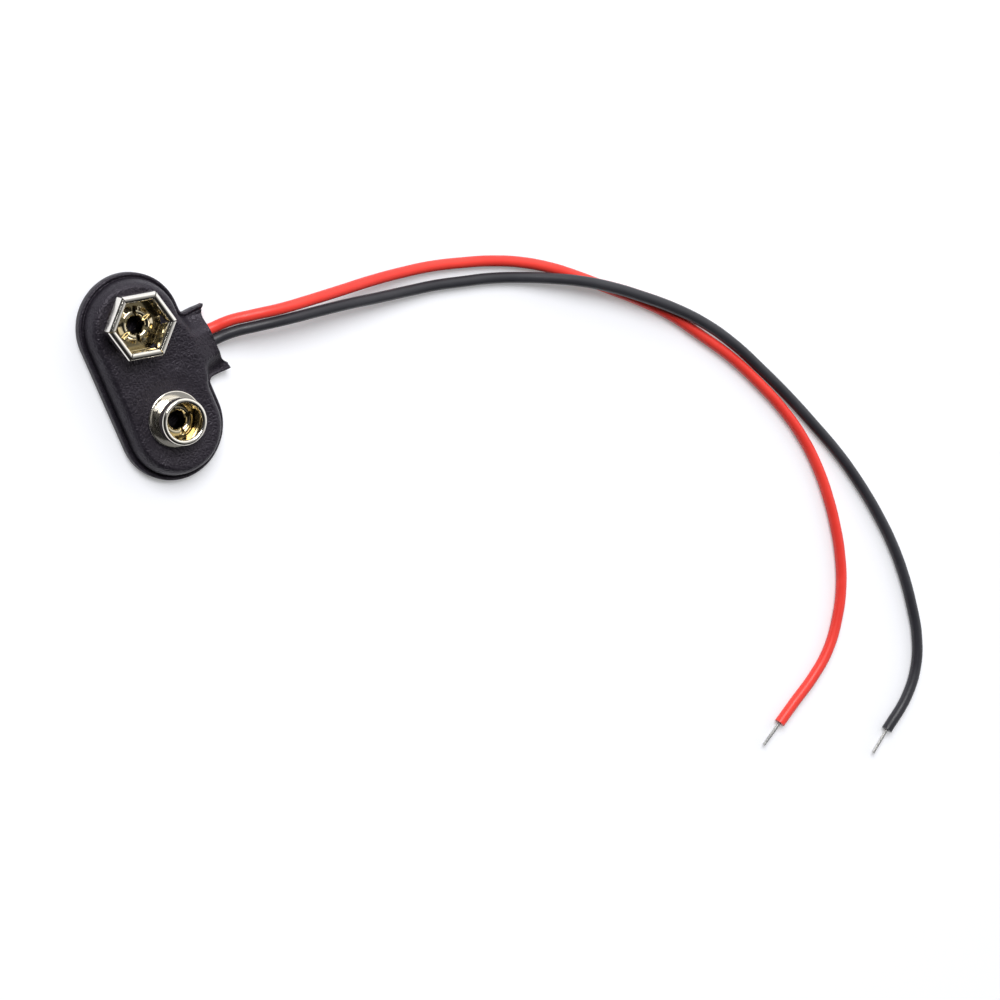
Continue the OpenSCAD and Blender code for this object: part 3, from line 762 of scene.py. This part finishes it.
def folded(corners, radii, steps):
    """A line through corners in section, with each inner corner bent to its own radius."""
    corners = [np.array(c, float) for c in corners]
    line = [corners[0]]
    for before, corner, after, r in zip(corners, corners[1:], corners[2:], radii):
        back = (before - corner) / np.linalg.norm(before - corner)
        on = (after - corner) / np.linalg.norm(after - corner)
        half = math.acos(np.clip(back @ on, -1, 1)) / 2
        centre = corner + (back + on) / np.linalg.norm(back + on) * r / math.sin(half)
        first = corner + back * r / math.tan(half) - centre
        last = corner + on * r / math.tan(half) - centre
        start = math.atan2(first[1], first[0])
        swing = math.atan2(last[1], last[0]) - start
        swing = (swing + math.pi) % (2 * math.pi) - math.pi
        for k in range(steps + 1):
            a = start + swing * k / steps
            line.append(centre + r * np.array([math.cos(a), math.sin(a)]))
    line.append(corners[-1])
    return np.array(line)


def bent_strip(line, thickness, across, place):
    """Points and faces of a strip of sheet metal along a section line: place(r, z, f) puts each point,
    with f from -1 to 1 over the strip's width."""
    run = np.gradient(line, axis=0)
    normal = np.column_stack([-run[:, 1], run[:, 0]])
    normal /= np.linalg.norm(normal, axis=1)[:, None]
    shares = np.linspace(-1, 1, across + 1)
    points = []
    for side in (0.5, -0.5):
        for r, z in line + side * thickness * normal:
            points += [place(r, z, f) for f in shares]
    rows = len(line)
    width = across + 1

    def at(side, row, column):
        return (side * rows + row) * width + column

    faces = []
    for row in range(rows - 1):
        for k in range(across):
            faces.append((at(0, row, k), at(0, row + 1, k), at(0, row + 1, k + 1), at(0, row, k + 1)))
            faces.append((at(1, row, k), at(1, row, k + 1), at(1, row + 1, k + 1), at(1, row + 1, k)))
        faces.append((at(0, row, 0), at(1, row, 0), at(1, row + 1, 0), at(0, row + 1, 0)))
        faces.append((at(0, row, across), at(0, row + 1, across), at(1, row + 1, across), at(1, row, across)))
    for k in range(across):
        faces.append((at(0, 0, k), at(0, 0, k + 1), at(1, 0, k + 1), at(1, 0, k)))
        faces.append((at(0, rows - 1, k), at(1, rows - 1, k), at(1, rows - 1, k + 1), at(0, rows - 1, k + 1)))
    return points, faces


def ring_tree(material):
    """Sets copies of a piece in a ring about an upright axis: inputs for their count, first turn and axis."""
    tree = bpy.data.node_groups.new("ring_of_copies", "GeometryNodeTree")
    tree.interface.new_socket("Geometry", in_out="INPUT", socket_type="NodeSocketGeometry")
    sockets = {
        "Count": tree.interface.new_socket("Count", in_out="INPUT", socket_type="NodeSocketInt"),
        "First turn": tree.interface.new_socket("First turn", in_out="INPUT", socket_type="NodeSocketFloat"),
        "Axis": tree.interface.new_socket("Axis", in_out="INPUT", socket_type="NodeSocketVector"),
    }
    tree.interface.new_socket("Geometry", in_out="OUTPUT", socket_type="NodeSocketGeometry")
    given = tree.nodes.new("NodeGroupInput")
    spots = tree.nodes.new("GeometryNodePoints")
    number = tree.nodes.new("GeometryNodeInputIndex")
    step = tree.nodes.new("ShaderNodeMath")
    step.operation = "DIVIDE"
    step.inputs[0].default_value = 2 * math.pi
    turn = tree.nodes.new("ShaderNodeMath")
    turn.operation = "MULTIPLY_ADD"
    angles = tree.nodes.new("ShaderNodeCombineXYZ")
    rotation = tree.nodes.new("FunctionNodeEulerToRotation")
    copies = tree.nodes.new("GeometryNodeInstanceOnPoints")
    real = tree.nodes.new("GeometryNodeRealizeInstances")
    coat = tree.nodes.new("GeometryNodeSetMaterial")
    coat.inputs["Material"].default_value = material
    result = tree.nodes.new("NodeGroupOutput")
    tree.links.new(given.outputs["Count"], spots.inputs["Count"])
    tree.links.new(given.outputs["Axis"], spots.inputs["Position"])
    tree.links.new(given.outputs["Count"], step.inputs[1])
    tree.links.new(number.outputs[0], turn.inputs[0])
    tree.links.new(step.outputs[0], turn.inputs[1])
    tree.links.new(given.outputs["First turn"], turn.inputs[2])
    tree.links.new(turn.outputs[0], angles.inputs["Z"])
    tree.links.new(angles.outputs[0], rotation.inputs[0])
    tree.links.new(spots.outputs[0], copies.inputs["Points"])
    tree.links.new(given.outputs["Geometry"], copies.inputs["Instance"])
    tree.links.new(rotation.outputs[0], copies.inputs["Rotation"])
    tree.links.new(copies.outputs[0], real.inputs["Geometry"])
    tree.links.new(real.outputs["Geometry"], coat.inputs["Geometry"])
    tree.links.new(coat.outputs["Geometry"], result.inputs["Geometry"])
    return tree, {name: socket.identifier for name, socket in sockets.items()}


def ring_of(piece, material, count, first_turn, axis_y):
    ring = piece.modifiers.new("ring", "NODES")
    ring.node_group, inputs = ring_tree(material)
    ring[inputs["Count"]] = count
    ring[inputs["First turn"]] = math.radians(first_turn)
    ring[inputs["Axis"]] = (0, axis_y * MM, 0)
    settle(piece, material, 40)


def set_brass_and_shade(piece, tone):
    """Gives each point of a piece its value from 0 to 1, brass tone and painted shade together, by its own
    place in millimetres.
    """
    layer = piece.data.attributes.new("brass_and_shade", "FLOAT", "POINT")
    for value, vertex in zip(layer.data, piece.data.vertices):
        value.value = tone(vertex.co / MM)


def slit_half(z):
    """Half the slit between two leaves: wide at their roots, fine at the rim."""
    low = FACE_Z + METAL_T
    high = FACE_Z + HEX_H - ROLL_W / 2 - METAL_T
    share = np.clip((z - low) / (high - low), 0, 1)
    return (SLIT_ROOT_W * (1 - share) + SLIT_W * share) / 2


grip_r = GRIP_AF / 2 + METAL_T / 2
floor_z = FACE_Z + METAL_T / 2
roll_bend = (ROLL_W - METAL_T) / 2
roll_in = HEX_AF / 2 - ROLL_W + METAL_T / 2
roll_out = HEX_AF / 2 - METAL_T / 2
rim_z = FACE_Z + HEX_H - METAL_T / 2
leaf_line = folded(
    [
        (grip_r - ROOT_OUT, floor_z), (grip_r + ROOT_OUT, floor_z), (grip_r, FACE_Z + HEX_H - GRIP_DROP),
        (roll_in, rim_z), (roll_out, rim_z), (roll_out, rim_z - roll_bend - SKIRT_L + METAL_T / 2),
    ],
    [*LEAF_BENDS, roll_bend * BEND_FILL, roll_bend * BEND_FILL], LEAF_STEPS,
)


def on_leaf(r, z, f):
    narrow = slit_half(z) if r < roll_out - METAL_T else SLIT_W / 2
    half = r * math.tan(math.pi / 6) - narrow / math.cos(math.pi / 6)
    return (r * MM, f * half * MM, z * MM)


def leaf_brass_and_shade(p):
    """Brassy and darkened with painted shade at the root of a leaf, bright at its rim and on its skirt."""
    if p.x >= roll_in + METAL_T:
        return 0
    return LEAF_ROOT_BRASS_AND_SHADE - LEAF_BRASS_AND_SHADE_DROP * eased((p.z - FACE_Z) / (HEX_H - 0.4))


nickel = plated("nickel_plate")
leaf_points, leaf_faces = bent_strip(leaf_line, METAL_T, LEAF_ACROSS, on_leaf)
socket = plain_mesh("hex_socket_leaves", leaf_points, leaf_faces, nickel)
set_brass_and_shade(socket, leaf_brass_and_shade)
ring_of(socket, nickel, LEAVES, HEX_TURN, CONTACT_Y)
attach(socket, "root")
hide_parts("hex_socket")


def lathe(name, section, axis_y, material, around=128):
    """A closed section turned about an upright axis."""
    section = np.array(section)
    rows = len(section)
    points = []
    for k in range(around):
        a = 2 * math.pi * k / around
        points += [(r * math.cos(a) * MM, (axis_y + r * math.sin(a)) * MM, z * MM) for r, z in section]
    faces = []
    for k in range(around):
        here = k * rows
        there = (k + 1) % around * rows
        for i in range(rows):
            j = (i + 1) % rows
            faces.append((here + i, there + i, there + j, here + j))
    piece = plain_mesh(name, points, faces, material)
    piece.data.shade_smooth()
    piece.data.set_sharp_from_angle(angle=math.radians(40))
    return piece


hex_floor_r = grip_r + ROOT_OUT
floor_top = FACE_Z + METAL_T
floor_section = [(HOLE_R, FACE_Z), (hex_floor_r, FACE_Z), (hex_floor_r, floor_top), (HOLE_R, floor_top)]
socket_floor = lathe("hex_socket_floor", floor_section, CONTACT_Y, nickel)
# The socket's floor is brassy and darkened with painted shade.
set_brass_and_shade(socket_floor, lambda p: FLOOR_BRASS_AND_SHADE)
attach(socket_floor, "root")

# Round stud: drawn from plated brass sheet as one hollow cup, with a rolled lip and a head wider than
# its neck. Its flat flange lies on the vinyl, and a rivet through its floor holds it.
HEAD_R = 2.86
NECK_R = 2.6
HOLLOW_R = 2.2
FLANGE_R = 3.45
FLANGE_T = 0.35
STUD_H = 3.3
HEAD_H = 0.92
HEAD_CONE = 0.35
FLANGE_EDGE = 0.16
NECK_ROOT = 0.1
HEAD_BEND = 0.2
HOLLOW_BEND = 0.25
STUD_STEPS = 10
# Deep in the stud's hollow the value holds painted shade as well as brass tone, and this lessens towards the
# lip.
HOLLOW_BRASS_AND_SHADE = 0.65
HOLLOW_BRASS_AND_SHADE_DROP = 0.35
OUTSIDE_TONE = 0.05
lip_r = (HEAD_R - HOLLOW_R) / 2
stud_top = FACE_Z + STUD_H
head_low = stud_top - lip_r - HEAD_H
stud_section = folded(
    [
        (HOLE_R, FACE_Z), (FLANGE_R, FACE_Z), (FLANGE_R, FACE_Z + FLANGE_T), (NECK_R, FACE_Z + FLANGE_T),
        (NECK_R, head_low - HEAD_CONE), (HEAD_R, head_low), (HEAD_R, stud_top), (HOLLOW_R, stud_top),
        (HOLLOW_R, FACE_Z + FLANGE_T), (HOLE_R, FACE_Z + FLANGE_T),
    ],
    [
        FLANGE_EDGE, FLANGE_EDGE, NECK_ROOT, HEAD_BEND, HEAD_BEND, lip_r * BEND_FILL, lip_r * BEND_FILL,
        HOLLOW_BEND,
    ],
    STUD_STEPS,
)
stud = lathe("round_stud_cup", stud_section, -CONTACT_Y, nickel)


def stud_brass_and_shade(p):
    """Brassy and darkened with painted shade deep in the hollow, bright at the lip and outside."""
    if math.hypot(p.x, p.y + CONTACT_Y) >= HOLLOW_R + 0.05:
        return OUTSIDE_TONE
    return HOLLOW_BRASS_AND_SHADE - HOLLOW_BRASS_AND_SHADE_DROP * eased((p.z - FACE_Z - FLANGE_T) / STUD_H)


set_brass_and_shade(stud, stud_brass_and_shade)
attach(stud, "root")
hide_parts("round_stud")

# Eyelets: hollow rivets of plated brass that hold each contact to the card.
# The barrel's upper end is slit and rolled over into a star of petals, and a foot spreads under the card.
BORE_R = 1.05
EYELET_T = 0.25
FOOT_R = 2.2
FOOT_T = 0.3
CARD_Z = 2.1
PETAL_GAP = 0.5
PETAL_ROLL = 0.5
PETAL_TURN = 30
PETAL_LIFT = 0.1
PETAL_TONE = 0.4
BARREL_TONE = 0.5
FOOT_EDGE = 0.08
SOCKET_STAR_R = 2.3
STUD_STAR_R = HOLLOW_R - 0.05


def eyelet(name, axis_y, floor_t, petals, first_turn, star_r):
    roll_z = FACE_Z + floor_t + PETAL_LIFT
    mid_r = PETAL_ROLL - EYELET_T / 2
    centre = np.array([BORE_R + PETAL_ROLL, roll_z])
    angles = np.radians(np.linspace(180, 90 - PETAL_TURN, 14))
    roll = centre + mid_r * np.column_stack([np.cos(angles), np.sin(angles)])
    run = (star_r - EYELET_T / 2 - roll[-1, 0]) / math.cos(math.radians(PETAL_TURN))
    down = np.array([math.cos(math.radians(PETAL_TURN)), -math.sin(math.radians(PETAL_TURN))])
    tongue = np.array([roll[-1] + down * run * k / 3 for k in range(1, 4)])
    line = np.concatenate([[[roll[0, 0], roll_z - PETAL_LIFT]], roll, tongue])

    def on_petal(r, z, f):
        half = math.pi / petals - math.asin(PETAL_GAP / 2 / r)
        return (r * math.cos(f * half) * MM, r * math.sin(f * half) * MM, z * MM)

    points, faces = bent_strip(line, EYELET_T, 10, on_petal)
    star = plain_mesh(name + "_star", points, faces, plate)
    set_brass_and_shade(star, lambda p: PETAL_TONE)
    ring_of(star, plate, petals, first_turn + 180 / petals, axis_y)
    barrel_section = [
        (BORE_R, CARD_Z - FOOT_T), (FOOT_R - FOOT_EDGE, CARD_Z - FOOT_T), (FOOT_R, CARD_Z - FOOT_T / 2),
        (FOOT_R - FOOT_EDGE, CARD_Z), (BORE_R + EYELET_T, CARD_Z), (BORE_R + EYELET_T, roll_z),
        (BORE_R, roll_z),
    ]
    barrel = lathe(name + "_barrel", barrel_section, axis_y, plate)
    wall_r = BORE_R + EYELET_T / 2
    # The bore's inner wall gets the full dark brown of painted shade, and the rest of the barrel is brassy.
    set_brass_and_shade(barrel, lambda p: 1 if math.hypot(p.x, p.y - axis_y) < wall_r else BARREL_TONE)
    for piece in (star, barrel):
        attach(piece, "root")
    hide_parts(name)


plate = plated("plated_brass")
eyelet("socket_eyelet", CONTACT_Y, METAL_T, petals=6, first_turn=15, star_r=SOCKET_STAR_R)
eyelet("stud_eyelet", -CONTACT_Y, FLANGE_T, petals=4, first_turn=0, star_r=STUD_STAR_R)

# Inside: a card of pressed brown fibre that stiffens the plate, and two solder joints under the rivets.
# The card lies between the vinyl and the feet of the rivets, and the solder holds the ends of the leads.
FIBRE = (0.26, 0.11, 0.05)
FIBRE_DARK = (0.17, 0.07, 0.03)
SOLDER = (0.60, 0.61, 0.62)
SOLDER_DULL = (0.42, 0.43, 0.44)


def fibre_card(name):
    material = bpy.data.materials.new(name)
    tree = empty_tree(material)
    place = tree.nodes.new("ShaderNodeTexCoord").outputs["Object"]
    surface = tree.nodes.new("ShaderNodeBsdfPrincipled")
    out = tree.nodes.new("ShaderNodeOutputMaterial")
    tree.links.new(mottled(tree, place, FIBRE, FIBRE_DARK, 900), surface.inputs["Base Color"])
    tree.links.new(uneven(tree, place, 1500, 0.7, 0.9), surface.inputs["Roughness"])
    tree.links.new(surface.outputs[0], out.inputs["Surface"])
    return material


def dress(node, material):
    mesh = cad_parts[node].data
    mesh.materials.clear()
    mesh.materials.append(material)


dress("insulator_card", fibre_card("fibre_card"))
solder = metal("solder", SOLDER, SOLDER_DULL, 0.25, 0.45, 700)
dress("socket_solder", solder)
dress("stud_solder", solder)
